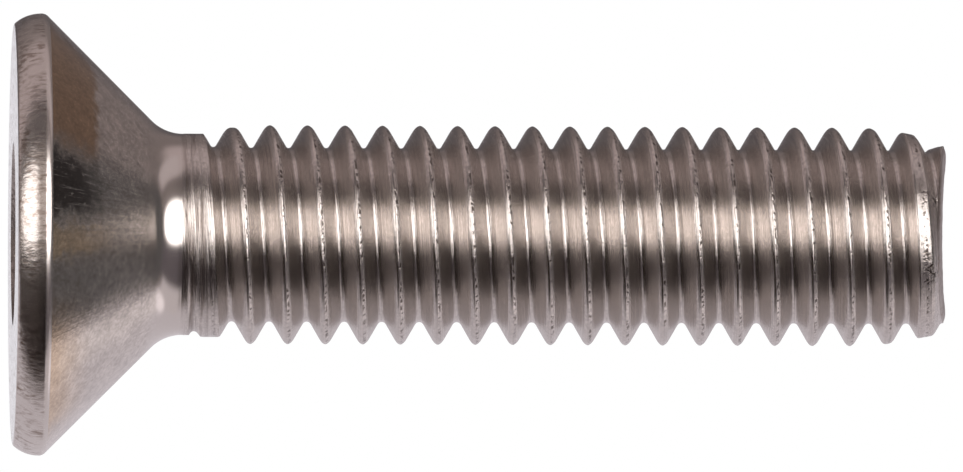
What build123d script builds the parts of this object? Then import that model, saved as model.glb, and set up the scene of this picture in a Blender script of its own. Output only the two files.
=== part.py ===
from build123d import *

import math
import os

# A hexagon socket countersunk screw, M6 x 1 x 25, cold-headed from stainless wire, with a rolled thread.
# Millimetres. The screw stands on its head: the origin is the centre of the head's flat face, +Z runs
# along the screw to its tip, and the thread is right-handed.

# head
HEAD_RADIUS = 5.91
RIM_INSET = 0.286  # how far inside the rim the flat face ends
RIM_HEIGHT = 0.78  # from the face to where the 90 degree cone, carried on, has the head's full radius
CORNER_RADIUS = 0.12
UNDERHEAD_RADIUS = 1.2
UNDERHEAD_BITE = 0.005  # how far the rounding under the head runs into the neck

# socket
ACROSS_FLATS = 4.04
SOCKET_AZIMUTH = 14  # from the X axis to a corner of the hexagon
SOCKET_DEPTH = 2.4
MOUTH_BEVEL = 0.42  # how far the mouth's bevel reaches past the flats
POINT_LEDGE = 0.22  # flat floor left between the flats and the point
POINT_DEPTH = 0.45

# thread
PITCH = 1.0
CREST_RADIUS = 2.912
THREAD_DEPTH = 0.597
NECK_DROP = 0.232  # how far the plain neck lies inside the crests
ROOT_FLAT = 0.14
FLANK_ANGLE = 30
START_AZIMUTH = 284
PLAIN_NECK = 0.097  # from the end of the rounding under the head to the middle of the groove's start
GROOVE_FADE = 0.75  # length over which the groove reaches its full depth
LEAST_FLANK = 0.05  # width of a flank where the groove is still flush with the neck

# tip
LENGTH = 24.9
TAPER_LENGTH = 1.99  # the last of the length, over which the crests fall away
TAPER_ANGLE = 9.4
TAPER_GAP = 0.01  # how far the taper stands off the crests where it starts
END_ROUNDING = 0.5
END_LAND = 0.27  # width of the ring round the dish in the end
DISH_DEPTH = 0.35
CROP_ANGLE = 9

MARGIN = 1.0  # how far a cutting shape reaches past what it cuts

FACE_RADIUS = HEAD_RADIUS - RIM_INSET
CONE_SUM = HEAD_RADIUS + RIM_HEIGHT  # radius plus height, at any point of the 90 degree cone
MOUTH_RADIUS = ACROSS_FLATS / 2 + MOUTH_BEVEL
POINT_RADIUS = ACROSS_FLATS / 2 - POINT_LEDGE
NECK_RADIUS = CREST_RADIUS - NECK_DROP
ROOT_RADIUS = CREST_RADIUS - THREAD_DEPTH
FADE_TURNS = GROOVE_FADE / PITCH

# the centre of the rounding under the head, which touches the cone on one side and the neck on the other
ROUNDING_CENTRE_RADIUS = NECK_RADIUS - UNDERHEAD_BITE + UNDERHEAD_RADIUS
ROUNDING_CENTRE_HEIGHT = CONE_SUM + UNDERHEAD_RADIUS * math.sqrt(2) - ROUNDING_CENTRE_RADIUS
GROOVE_START = ROUNDING_CENTRE_HEIGHT + PLAIN_NECK

# the tip's outline: a taper that starts just outside the crests, and the rounding that ends it
TAPER_START = (CREST_RADIUS + TAPER_GAP, LENGTH - TAPER_LENGTH)
TAPER_SLOPE = math.radians(TAPER_ANGLE)
TAPER_DROP = (TAPER_LENGTH - END_ROUNDING) * math.tan(TAPER_SLOPE)
TIP_CENTRE_RADIUS = TAPER_START[0] - TAPER_DROP - END_ROUNDING / math.cos(TAPER_SLOPE)
DISH_RADIUS = TIP_CENTRE_RADIUS - END_LAND


def revolved(outline):
    """The solid that an outline, drawn in radius and height, sweeps round the screw's axis."""
    return revolve(Plane.XZ * make_face(outline), Axis.Z)


def head():
    """The flat face, rounded rim, 90 degree cone and the rounding that runs into the neck."""
    slant = math.sqrt(0.5)
    rim_top = (HEAD_RADIUS, CONE_SUM - HEAD_RADIUS - CORNER_RADIUS * (math.sqrt(2) - 1))
    corner_end = (HEAD_RADIUS - CORNER_RADIUS * (1 - slant), rim_top[1] + CORNER_RADIUS * slant)
    cone_end = (
        ROUNDING_CENTRE_RADIUS - UNDERHEAD_RADIUS * slant,
        ROUNDING_CENTRE_HEIGHT - UNDERHEAD_RADIUS * slant,
    )
    neck_end = (ROUNDING_CENTRE_RADIUS - UNDERHEAD_RADIUS, ROUNDING_CENTRE_HEIGHT)
    return revolved(
        [
            Line((0, 0), (FACE_RADIUS, 0)),
            TangentArc([rim_top, (FACE_RADIUS, 0)], tangent=(0, -1)),
            TangentArc([rim_top, corner_end], tangent=(0, 1)),
            Line(corner_end, cone_end),
            TangentArc([cone_end, neck_end], tangent=(-1, 1)),
            Line(neck_end, (0, ROUNDING_CENTRE_HEIGHT)),
            Line((0, ROUNDING_CENTRE_HEIGHT), (0, 0)),
        ]
    )


def ramp(turn, start, end):
    """The share of the way from one turn to a later one."""
    return min(max((turn - start) / (end - start), 0), 1)


def groove(turn):
    """Radius and height of the lower lip, the root's two edges and the upper lip, at a turn from the start.

    The root sinks from the neck over the groove's fade. Each lip rises from the neck to the crest over one
    turn: the upper lip in the first turn, and the lower lip, which is the same land, in the next.
    """
    middle = GROOVE_START + PITCH * turn
    rise = CREST_RADIUS - NECK_RADIUS
    root = NECK_RADIUS - (NECK_RADIUS - ROOT_RADIUS) * ramp(turn, 0, FADE_TURNS)
    lips = [NECK_RADIUS + rise * ramp(turn, 1, 2), NECK_RADIUS + rise * ramp(turn, 0, 1)]
    slope = math.tan(math.radians(FLANK_ANGLE))
    flanks = [max(LEAST_FLANK, (lip - root) * slope) for lip in lips]
    return [
        (lips[0], middle - ROOT_FLAT / 2 - flanks[0]),
        (root, middle - ROOT_FLAT / 2),
        (root, middle + ROOT_FLAT / 2),
        (lips[1], middle + ROOT_FLAT / 2 + flanks[1]),
    ]


def winding(edge, start, end):
    """One edge of the groove, wound round the axis from one turn to another, as an exact helix."""
    (low_radius, low), (high_radius, high) = groove(start)[edge], groove(end)[edge]
    taper = math.atan2(high_radius - low_radius, high - low)
    pitch = (high - low) / (end - start)
    curve = Edge.make_helix(pitch / math.cos(taper), high - low, low_radius, angle=math.degrees(taper))
    return curve.moved(Location((0, 0, low), (0, 0, START_AZIMUTH + 360 * start)))


def ruled_strips(turn):
    """The flanks, root and land of one turn, in two stretches that meet where the groove's fade ends."""
    faces = []
    for start, end in ((turn, turn + FADE_TURNS), (turn + FADE_TURNS, turn + 1)):
        curves = [winding(edge, start, end) for edge in range(4)]
        curves.append(winding(0, start + 1, end + 1))
        faces += [Face.make_surface_from_curves(low, high) for low, high in zip(curves, curves[1:])]
    return faces


def end_faces(turn):
    """A spiral floor from the lower lip in to the axis, and the step where it has gone round once."""
    stops = (turn, turn + FADE_TURNS, turn + 1)
    on_axis = [Vector(0, 0, groove(stop)[0][1]) for stop in stops]
    faces = []
    for stretch in (0, 1):
        lip = winding(0, stops[stretch], stops[stretch + 1])
        axis_line = Edge.make_line(on_axis[stretch], on_axis[stretch + 1])
        faces.append(Face.make_surface_from_curves(lip, axis_line))
    azimuth = math.radians(START_AZIMUTH + 360 * turn)
    profile = groove(turn) + groove(turn + 1)[:1]
    corners = [Vector(r * math.cos(azimuth), r * math.sin(azimuth), z) for r, z in profile]
    return faces + [Face(Wire.make_polygon([on_axis[0], *corners, on_axis[2], on_axis[1]], close=True))]


def threaded_rod():
    """The thread and the core inside it, from a plain turn hidden in the head to past the tip."""
    turns = math.ceil((LENGTH + MARGIN - GROOVE_START) / PITCH) + 1
    faces = [face for turn in range(-1, turns) for face in ruled_strips(turn)]
    return Solid(Shell(faces + end_faces(-1) + end_faces(turns)))


def tip_cuts():
    """The shallow dish in the end, and the side where the wire was cropped at a slant."""
    sphere_radius = (DISH_RADIUS**2 + DISH_DEPTH**2) / (2 * DISH_DEPTH)
    dish = Pos(0, 0, LENGTH - DISH_DEPTH + sphere_radius) * Sphere(sphere_radius)
    across = 2 * (CREST_RADIUS + MARGIN)
    crop = Location((0, 0, LENGTH), (CROP_ANGLE, 0, 0)) * Box(
        across, across, MARGIN, align=(Align.CENTER, Align.CENTER, Align.MIN)
    )
    return dish, crop


def tip_envelope():
    """What the tip leaves of the rod: the crests fall away over two turns to a rounded and cropped end."""
    outside = CREST_RADIUS + MARGIN
    taper_end = (
        TIP_CENTRE_RADIUS + END_ROUNDING * math.cos(TAPER_SLOPE),
        LENGTH - END_ROUNDING + END_ROUNDING * math.sin(TAPER_SLOPE),
    )
    end_edge = (TIP_CENTRE_RADIUS, LENGTH)
    tapered = revolved(
        [
            Polyline((0, 0), (outside, 0), (outside, TAPER_START[1]), TAPER_START, taper_end),
            TangentArc([taper_end, end_edge], tangent=(-math.sin(TAPER_SLOPE), math.cos(TAPER_SLOPE))),
            Polyline(end_edge, (0, LENGTH), (0, 0)),
        ]
    )
    return tapered.cut(*tip_cuts())


def socket():
    """The hexagon, its bevelled mouth and the shallow point at its bottom."""
    outline = RegularPolygon(ACROSS_FLATS / 2, 6, major_radius=False, rotation=SOCKET_AZIMUTH)
    hexagon = extrude(outline, SOCKET_DEPTH)
    mouth = revolved([Polyline((0, 0), (MOUTH_RADIUS, 0), (0, MOUTH_RADIUS), (0, 0))])
    point = revolved(
        [Polyline((0, 0), (POINT_RADIUS, SOCKET_DEPTH), (0, SOCKET_DEPTH + POINT_DEPTH), (0, 0))]
    )
    return hexagon + mouth + point


def screw():
    """The whole screw, as one solid."""
    (shank,) = threaded_rod().intersect(tip_envelope())
    return head().fuse(shank).cut(socket())


if __name__ == "__main__":
    os.makedirs("parts", exist_ok=True)
    export_step(screw(), "parts/screw.step")
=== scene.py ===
"""A countersunk hexagon socket screw, M6 x 1 x 25, in stainless steel, standing on its head.

The screw is one solid. Its surface is worked out here in two closed pieces that meet on the plain neck: the
cold-headed head with its pressed rim, cone and socket, and the shank with its rolled thread and cropped tip.
Lengths in the classes are millimetres, azimuths are degrees counted from +X towards +Y, and Blender's
objects are in metres. +Z runs from the head's flat face to the tip.
"""

import itertools
import logging
import math
from dataclasses import dataclass, field
from enum import Enum
from functools import partial

import bpy
import numpy as np
from mathutils import Matrix, Vector


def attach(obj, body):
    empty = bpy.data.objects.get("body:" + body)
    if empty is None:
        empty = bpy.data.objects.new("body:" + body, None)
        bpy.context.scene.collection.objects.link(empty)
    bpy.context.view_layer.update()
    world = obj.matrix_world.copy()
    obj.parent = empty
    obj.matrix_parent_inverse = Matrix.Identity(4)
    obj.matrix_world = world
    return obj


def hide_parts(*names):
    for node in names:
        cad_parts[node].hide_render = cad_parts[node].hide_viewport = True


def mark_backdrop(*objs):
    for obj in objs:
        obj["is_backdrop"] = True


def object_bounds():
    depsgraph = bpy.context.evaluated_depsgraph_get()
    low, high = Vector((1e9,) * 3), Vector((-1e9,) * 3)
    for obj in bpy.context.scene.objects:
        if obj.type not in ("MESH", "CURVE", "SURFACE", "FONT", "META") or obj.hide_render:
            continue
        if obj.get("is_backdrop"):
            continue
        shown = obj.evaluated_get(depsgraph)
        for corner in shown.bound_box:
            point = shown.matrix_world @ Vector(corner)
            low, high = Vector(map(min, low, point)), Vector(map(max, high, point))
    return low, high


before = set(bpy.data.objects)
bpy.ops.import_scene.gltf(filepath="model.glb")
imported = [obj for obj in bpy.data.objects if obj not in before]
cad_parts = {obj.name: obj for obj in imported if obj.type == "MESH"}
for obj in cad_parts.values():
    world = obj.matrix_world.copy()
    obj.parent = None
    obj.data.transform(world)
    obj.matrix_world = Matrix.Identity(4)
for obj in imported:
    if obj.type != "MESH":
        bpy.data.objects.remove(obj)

log = logging.getLogger("screw")

MM = 0.001
ROOT_BODY = "root"
SCREW_NODE = "screw"
GRAIN = "grain"

# the hash behind the noise: a large prime for each axis and for the seed, then two rounds of a shift and a
# multiplication
HASH_PRIMES = (73856093, 19349663, 83492791)
SEED_PRIME = 2654435761
HASH_ROUNDS = ((13, 1274126177), (11, 668265263))
HASH_MASK = 0x7FFFFFFF

# how many layers of finer noise a pattern has
LAYERS = 3.0
FEW_LAYERS = 2.0

# what can go into a node's socket: a plain value, another node's output, or that node itself
NodeValue = float | tuple[float, ...] | bpy.types.NodeSocket | bpy.types.Node


# ---------------------------------------------------------------- numbers over whole arrays


def ramp(value: np.ndarray, start: float, end: float) -> np.ndarray:
    """The share of the way from start to end, from 0 to 1, eased at both ends.

    Args:
        value: where each point stands.
        start: the value that gives 0.
        end: the value that gives 1.

    Returns:
        3t^2 - 2t^3 of the clipped share t.
    """
    share = np.clip((value - start) / (end - start), 0.0, 1.0)
    return share * share * (3.0 - 2.0 * share)


def smaller(first: np.ndarray, second: np.ndarray, blend: np.ndarray | float) -> np.ndarray:
    """The smaller of two heights, rounded where they meet.

    Args:
        first: one height at each point.
        second: the other height at each point.
        blend: how far apart the two are where the rounding starts.

    Returns:
        The minimum, less (blend - difference)^2 / (4 blend) inside the rounding.
    """
    overlap = np.maximum(blend - np.abs(first - second), 0.0)
    return np.minimum(first, second) - overlap * overlap / (4.0 * blend)


def value_noise(points: np.ndarray, cell: float, seed: int) -> np.ndarray:
    """Smooth noise from -1 to 1: fixed random values on the corners of cubic cells, blended between them.

    Args:
        points: the points in millimetres, with x, y and z in the last axis.
        cell: the side of a cell in millimetres.
        seed: a whole number that picks the pattern.

    Returns:
        One value for each point.
    """
    scaled = points / cell
    corner = np.floor(scaled).astype(np.int64)
    share = scaled - corner
    share = share * share * (3.0 - 2.0 * share)
    total = np.zeros(points.shape[:-1])
    for step in itertools.product((0, 1), repeat=3):
        at = corner + np.array(step)
        key = seed * SEED_PRIME
        for axis, prime in enumerate(HASH_PRIMES):
            key = key ^ (at[..., axis] * prime)
        for shift, prime in HASH_ROUNDS:
            key = (key ^ (key >> shift)) * prime & HASH_MASK
        weight = np.prod(np.where(np.array(step) == 1, share, 1.0 - share), axis=-1)
        total += weight * (key / (HASH_MASK // 2) - 1.0)
    return total


def around(azimuth: np.ndarray, radius: np.ndarray, height: np.ndarray) -> np.ndarray:
    """Points from cylinder coordinates.

    Args:
        azimuth: degrees from +X.
        radius: millimetres from the axis.
        height: millimetres from the head's face.

    Returns:
        x, y and z in the last axis: radius times cosine, radius times sine, and the height.
    """
    turned = np.radians(azimuth)
    return np.stack(np.broadcast_arrays(radius * np.cos(turned), radius * np.sin(turned), height), axis=-1)


# ---------------------------------------------------------------- meshes


class Finish(Enum):
    """The finishes that the screw's surfaces have, by their place in a piece's list of materials."""

    ROLLED = 0
    SHEARED = 1
    PRESSED = 2
    DRAWN = 3
    FACED = 4
    PUNCHED = 5


@dataclass
class Skin:
    """Collects the points and faces of one closed surface, and makes a Blender object of it."""

    name: str
    points: list[np.ndarray] = field(default_factory=list)
    marks: list[np.ndarray] = field(default_factory=list)
    quads: list[np.ndarray] = field(default_factory=list)
    finishes: list[np.ndarray] = field(default_factory=list)
    count: int = 0
    sharp_angle: float = 38.0

    def add(self, points: np.ndarray, marks: np.ndarray) -> np.ndarray:
        """Adds points with their marks.

        Args:
            points: x, y and z in millimetres in the last axis.
            marks: the two marks that the steel's pattern follows, in the last axis.

        Returns:
            The points' numbers, in the shape of the grid.
        """
        shape = points.shape[:-1]
        numbers = self.count + np.arange(int(np.prod(shape))).reshape(shape)
        self.points.append(points.reshape(-1, 3))
        self.marks.append(np.broadcast_to(marks, (*shape, 2)).reshape(-1, 2))
        self.count += numbers.size
        return numbers

    def bridge(self, rings: np.ndarray, finish: Finish) -> None:
        """Puts faces between neighbouring closed rings.

        Args:
            rings: point numbers, one ring in each row. A row of one repeated number closes a pole.
            finish: the faces' finish.
        """
        ahead = np.roll(rings, -1, axis=1)
        self.cover(np.stack([rings[:-1], ahead[:-1], ahead[1:], rings[1:]], axis=-1), finish)

    def cover(self, quads: np.ndarray, finish: Finish) -> None:
        """Adds faces of four point numbers each, which all turn the same way as the other faces."""
        self.quads.append(quads.reshape(-1, 4))
        self.finishes.append(np.full(quads.size // 4, finish.value))

    def pole(self, height: float, columns: int) -> np.ndarray:
        """Adds one unmarked point on the axis.

        Args:
            height: its height in millimetres.
            columns: how many points the ring next to it has.

        Returns:
            The point's number, repeated for each column.
        """
        return np.repeat(self.add(np.array([[0.0, 0.0, height]]), np.zeros(2)), columns)

    def finished(self) -> bpy.types.Object:
        """Makes the object, in metres, with collapsed quads made triangles and its faces turned outwards.

        Returns:
            The object, at the origin, unturned and unscaled, with the marks as its attribute "grain".
        """
        used, quads = np.unique(np.concatenate(self.quads), return_inverse=True)
        quads = quads.reshape(-1, 4)
        points = np.concatenate(self.points)[used] * MM
        marks = np.concatenate(self.marks)[used]
        finishes = np.concatenate(self.finishes)
        merged = quads == np.roll(quads, -1, axis=1)
        whole = ~merged.any(axis=1)
        pointed = merged.sum(axis=1) == 1
        triangles = quads[pointed][~merged[pointed]].reshape(-1, 3)
        loops = [(quads[whole], finishes[whole]), (triangles, finishes[pointed])]
        turn = 1 if sum(self.volume(points, corners) for corners, _ in loops) > 0.0 else -1
        mesh = bpy.data.meshes.new(self.name)
        mesh.vertices.add(len(points))
        mesh.vertices.foreach_set("co", points.astype(np.float32).ravel())
        corners = np.concatenate([numbers[:, ::turn].ravel() for numbers, _ in loops])
        totals = np.concatenate([np.full(len(numbers), numbers.shape[1]) for numbers, _ in loops])
        mesh.loops.add(len(corners))
        mesh.loops.foreach_set("vertex_index", corners.astype(np.int32))
        mesh.polygons.add(len(totals))
        mesh.polygons.foreach_set("loop_start", (np.cumsum(totals) - totals).astype(np.int32))
        mesh.polygons.foreach_set("material_index", np.concatenate([f for _, f in loops]).astype(np.int32))
        mesh.update(calc_edges=True)
        if mesh.validate():
            log.warning("%s: Blender mended its mesh", self.name)
        mesh.shade_smooth()
        mesh.set_sharp_from_angle(angle=math.radians(self.sharp_angle))
        grain = mesh.attributes.new(GRAIN, "FLOAT_VECTOR", "POINT")
        padded = np.concatenate([marks, np.zeros((len(marks), 1))], axis=1)
        grain.data.foreach_set("vector", padded.astype(np.float32).ravel())
        return linked(self.name, mesh)

    @staticmethod
    def volume(points: np.ndarray, corners: np.ndarray) -> float:
        """How much room faces enclose, to tell which way they turn.

        Args:
            points: the surface's points.
            corners: three or four point numbers for each face.

        Returns:
            Six times the signed volume: the triple products of the triangles that the faces split into.
        """
        first, *rest = (points[column] for column in corners.T)
        crossed = [np.cross(near, far) for near, far in zip(rest, rest[1:])]
        return float(sum(np.einsum("ij,ij->", first, normals) for normals in crossed))


def linked(name: str, data: bpy.types.Mesh | bpy.types.Camera) -> bpy.types.Object:
    """Makes an object and puts it in the scene.

    Args:
        name: the object's name.
        data: its mesh or camera.

    Returns:
        The object.
    """
    thing = bpy.data.objects.new(name, data)
    bpy.context.scene.collection.objects.link(thing)
    return thing


# ---------------------------------------------------------------- the screw's sizes


@dataclass(frozen=True)
class Sizes:
    """The sizes that the head and the shank share, in millimetres and degrees, as the solid has them."""

    neck_radius: float = 2.68
    neck_bite: float = 0.005
    rounding: float = 1.2
    cone_sum: float = 6.69  # radius plus height, at any point of the 90 degree cone
    joint_height: float = 4.4
    joint_lap: float = 0.05
    joint_step: float = 0.01

    @property
    def rounding_centre(self) -> tuple[float, float]:
        """Radius and height of the middle of the rounding that joins the cone to the neck."""
        radius = self.neck_radius - self.neck_bite + self.rounding
        return radius, self.cone_sum + self.rounding * math.sqrt(2.0) - radius

    def neck(self, height: np.ndarray) -> np.ndarray:
        """The neck's radius: the rounding's arc up to its middle's height, and the plain neck above.

        Args:
            height: millimetres from the head's face.

        Returns:
            Millimetres from the axis.
        """
        radius, middle = self.rounding_centre
        below = np.clip(middle - height, 0.0, self.rounding)
        arc = radius - np.sqrt(self.rounding**2 - below**2)
        return np.where(height < middle, arc, self.neck_radius)


@dataclass(frozen=True)
class Thread:
    """The rolled thread as the radius at any azimuth and height."""

    sizes: Sizes
    pitch: float = 1.0
    crest_radius: float = 2.914
    root_radius: float = 2.31
    root_rounding: float = 0.125
    flank_angle: float = 30.0
    crest_blend: float = 0.15
    least_blend: float = 0.02  # where the land still lies on the neck
    blend_turns: tuple[float, float] = (-0.2, 0.8)
    start_azimuth: float = 284.0
    start_height: float = 4.609
    fade_turns: float = 0.75
    no_groove: float = 10.0  # stands for the radius of a wall whose groove has not begun
    seam_depth: float = 0.01
    seam_width: float = 0.028
    seam_wander: float = 0.014
    seam_offset: float = 0.065
    seam_cells: tuple[float, float] = (0.35, 0.16)  # of the noise that moves it aside, and that notches it
    seam_seeds: tuple[int, int] = (11, 12)
    seam_shares: tuple[float, float] = (0.65, 0.35)  # the part of its depth that stays, and that varies
    seam_turns: tuple[float, float] = (0.5, 1.3)

    def turns_at(self, azimuth: np.ndarray) -> np.ndarray:
        """How many turns the groove has made from its start to this azimuth of its first turn."""
        return (azimuth - self.start_azimuth) / 360.0

    def phase(self, azimuth: np.ndarray, height: np.ndarray) -> np.ndarray:
        """The height above the groove's first turn at this azimuth, in pitches: whole numbers are roots."""
        return (height - self.start_height) / self.pitch - self.turns_at(azimuth)

    def marks(self, azimuth: np.ndarray, height: np.ndarray) -> np.ndarray:
        """Cosine and sine of the phase, so that the steel's pattern can follow the thread without a break."""
        turned = 2.0 * np.pi * self.phase(azimuth, height)
        return np.stack([-np.cos(turned), -np.sin(turned)], axis=-1)

    def wall(self, away: np.ndarray) -> np.ndarray:
        """The groove's wall: an arc round the root, then a straight flank at its cotangent's slope.

        Args:
            away: millimetres from the root's middle, along the axis.

        Returns:
            Millimetres above the root.
        """
        flank = math.radians(self.flank_angle)
        arc_end = self.root_rounding * math.cos(flank)
        sunk = self.root_rounding * (1.0 - math.sin(flank))
        arc = self.root_rounding - np.sqrt(self.root_rounding**2 - np.clip(away, 0.0, arc_end) ** 2)
        return np.where(away < arc_end, arc, sunk + (away - arc_end) * (1.0 / math.tan(flank)))

    def radius(self, azimuth: np.ndarray, height: np.ndarray) -> np.ndarray:
        """The thread's radius.

        The groove below a point and the one above it are walls that rise from their roots, and the land
        between them caps both. Over its first turn the groove sinks from the neck to its full depth and the
        land rises to the full crest. A fine seam runs along the crest, where the rolled metal met.

        Args:
            azimuth: degrees from +X.
            height: millimetres from the head's face.

        Returns:
            Millimetres from the axis.
        """
        phase = self.phase(azimuth, height)
        turn = np.floor(phase)
        above = phase - turn
        made = self.turns_at(azimuth) + turn
        plain = self.sizes.neck(height)
        depth = self.sizes.neck_radius - self.root_radius
        walls = []
        for reached, away in ((made, above), (made + 1.0, 1.0 - above)):
            root = plain - depth * np.clip(reached / self.fade_turns, 0.0, 1.0)
            walls.append(np.where(reached >= 0.0, root + self.wall(away * self.pitch), self.no_groove))
        land = plain + (self.crest_radius - self.sizes.neck_radius) * np.clip(made, 0.0, 1.0)
        blend = self.least_blend + (self.crest_blend - self.least_blend) * ramp(made, *self.blend_turns)
        radius = smaller(np.minimum(*walls), land, blend)
        return radius - self.seam(azimuth, height, above, made)

    def seam(
        self, azimuth: np.ndarray, height: np.ndarray, above: np.ndarray, made: np.ndarray
    ) -> np.ndarray:
        """The crest's seam: a narrow bell across the crest that wanders and varies along it.

        Args:
            azimuth: degrees from +X.
            height: millimetres from the head's face.
            above: pitches above the root below.
            made: turns that the groove has made there.

        Returns:
            How deep the seam is, in millimetres.
        """
        points = around(azimuth, np.full(azimuth.shape, self.crest_radius), height)
        path, notches = (value_noise(points, *kind) for kind in zip(self.seam_cells, self.seam_seeds))
        depth = self.seam_depth * (self.seam_shares[0] + self.seam_shares[1] * notches)
        middle = (above - 0.5) * self.pitch - self.seam_offset
        across = (middle - self.seam_wander * path) / self.seam_width
        return depth * np.exp(-(across**2)) * ramp(made, *self.seam_turns)


# ---------------------------------------------------------------- the screw's pieces


@dataclass
class Shank:
    """The shank, from the joint on the neck to the tip: the rolled thread, its tapered end and the crop."""

    sizes: Sizes
    thread: Thread
    name: str = "screw_shank"
    columns: int = 160
    strip_turns: float = 19.3
    length: float = 24.895
    taper_length: float = 1.985
    taper_angle: float = 9.4
    taper_gap: float = 0.008
    taper_blend: float = 0.09
    flat_radius: float = 2.3
    flat_start: float = 24.3
    flat_slope: float = 0.32
    flat_azimuth: float = 180.0
    flat_lead: float = 3.0  # how steeply the flat runs out of the thread below its start
    least_facing: float = 0.1
    rounding: float = 0.5
    edge_start: float = 60.0
    edge_rings: int = 7
    dish_radius: float = 1.9
    dish_depth: float = 0.35
    dish_blend: float = 0.06
    crop_angle: float = 9.0
    crop_blend: float = 0.02
    chip: float = 0.02
    chip_cells: tuple[float, float] = (0.5, 0.14)  # of the coarse noise and of the fine
    chip_seeds: tuple[int, int] = (21, 22)
    chip_shares: tuple[float, float] = (0.6, 0.4)
    chip_heights: tuple[float, float] = (23.6, 24.3)
    end_chip: float = 0.5  # the chips' depth on the end, as a share of that on the side
    rows: tuple[float, ...] = (
        0.0, 0.035, 0.07, 0.11, 0.17, 0.24, 0.31, 0.365, 0.405, 0.44, 0.462, 0.482,
        0.5, 0.518, 0.538, 0.56, 0.595, 0.635, 0.69, 0.76, 0.83, 0.89, 0.93, 0.965,
    )  # fmt: skip
    tip_rows: int = 44
    end_rows: int = 22

    @property
    def end_radius(self) -> float:
        """Radius where the rounding that ends the tip has turned level, which is also its middle's radius.

        Returns:
            The taper's radius where the rounding starts, less the rounding over the taper's cosine.
        """
        slope = math.radians(self.taper_angle)
        drop = (self.taper_length - self.rounding) * math.tan(slope)
        return self.thread.crest_radius + self.taper_gap - drop - self.rounding / math.cos(slope)

    @property
    def total(self) -> int:
        """How many columns the wound strip has in all, with the extra turn that levels its ends."""
        return round((self.strip_turns + 1.0) * self.columns)

    @property
    def first_azimuth(self) -> float:
        """The azimuth of the strip's first column: the groove's, carried back to the joint's height."""
        back = 360.0 * (self.sizes.joint_height - self.thread.start_height) / self.thread.pitch
        return self.thread.start_azimuth + back

    def envelope(self, height: np.ndarray) -> np.ndarray:
        """What the tip leaves: a straight taper, then the arc that ends it.

        Args:
            height: millimetres from the head's face.

        Returns:
            Millimetres from the axis.
        """
        slope = math.radians(self.taper_angle)
        along = height - (self.length - self.rounding)
        rise = height - (self.length - self.taper_length)
        taper = self.thread.crest_radius + self.taper_gap - rise * math.tan(slope)
        arc = self.end_radius + np.sqrt(np.maximum(self.rounding**2 - along**2, 0.0))
        return np.where(along < self.rounding * math.sin(slope), taper, arc)

    def flat(self, azimuth: np.ndarray, height: np.ndarray) -> np.ndarray:
        """The flat where the last crest was pressed down: its distance from the axis over a cosine.

        Args:
            azimuth: degrees from +X.
            height: millimetres from the head's face.

        Returns:
            Millimetres from the axis.
        """
        facing = np.maximum(np.cos(np.radians(azimuth - self.flat_azimuth)), self.least_facing)
        past = height - self.flat_start
        distance = self.flat_radius + self.flat_slope * np.maximum(past, 0.0)
        return distance / facing + self.flat_lead * np.maximum(-past, 0.0)

    def radius(self, azimuth: np.ndarray, height: np.ndarray) -> np.ndarray:
        """The thread's radius, limited by the tip's envelope and by the flat on the last crest."""
        whole = smaller(self.thread.radius(azimuth, height), self.envelope(height), self.taper_blend)
        return smaller(whole, self.flat(azimuth, height), self.taper_blend)

    def end_height(self, azimuth: np.ndarray, radius: np.ndarray) -> np.ndarray:
        """The end: a plane, lower where it was cropped at a slant, with a round dish in it.

        Args:
            azimuth: degrees from +X.
            radius: millimetres from the axis.

        Returns:
            Millimetres from the head's face.
        """
        slant = radius * np.sin(np.radians(azimuth)) * math.tan(math.radians(self.crop_angle))
        plane = self.length + smaller(slant, np.zeros_like(slant), self.crop_blend)
        sphere = (self.dish_radius**2 + self.dish_depth**2) / (2.0 * self.dish_depth)
        dish = self.length - self.dish_depth + sphere - np.sqrt(sphere**2 - np.minimum(radius, sphere) ** 2)
        return smaller(plane, dish, self.dish_blend)

    def chipped(self, azimuth: np.ndarray, height: np.ndarray) -> np.ndarray:
        """The torn metal at the tip: two sizes of noise.

        Args:
            azimuth: degrees from +X.
            height: millimetres from the head's face.

        Returns:
            How far it lies inside the smooth form, in millimetres.
        """
        points = around(azimuth, np.full(azimuth.shape, self.thread.sizes.neck_radius), height)
        coarse, fine = (value_noise(points, *kind) for kind in zip(self.chip_cells, self.chip_seeds))
        return self.chip * (1.0 + self.chip_shares[0] * coarse + self.chip_shares[1] * fine)

    def strip(self, skin: Skin) -> tuple[np.ndarray, np.ndarray]:
        """The thread as one strip wound along it, so that its rows follow the root and the crest.

        Each turn of the strip lies between the root line below it and the one above it. The first turn's
        lower edge and the last turn's upper edge stay level, so the strip narrows to nothing at both ends.

        Args:
            skin: the surface that takes the strip.

        Returns:
            The rings of point numbers at its lower and upper end.
        """
        turn, total = self.columns, self.total
        column = np.arange(total + turn + 1)
        azimuth = self.first_azimuth + 360.0 * column / turn
        line = self.sizes.joint_height + self.thread.pitch * (np.clip(column, turn, total) - turn) / turn
        lower, upper = line[: total + 1], line[turn:]
        height = lower[:, None] + np.array(self.rows) * (upper - lower)[:, None]
        turned = np.broadcast_to(azimuth[: total + 1, None], height.shape)
        wound = around(turned, self.radius(turned, height), height)
        numbers = skin.add(wound, self.thread.marks(turned, height))
        last = azimuth[total + 1 : total + turn]
        top = np.full(last.shape, line[-1])
        ring = skin.add(around(last, self.radius(last, top), top), self.thread.marks(last, top))
        numbers[0] = numbers[0, 0]
        numbers[turn, 0] = numbers[0, 0]
        numbers[total] = numbers[total, 0]
        edge = np.concatenate([numbers[:, 0], ring, [numbers[total, 0]]])
        grid = np.concatenate([numbers, edge[turn : turn + total + 1, None]], axis=1)
        grid[0] = grid[0, 0]
        grid[total] = numbers[total, 0]
        quads = np.stack([grid[:-1, :-1], grid[1:, :-1], grid[1:, 1:], grid[:-1, 1:]], axis=-1)
        skin.cover(quads, Finish.ROLLED)
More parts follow.
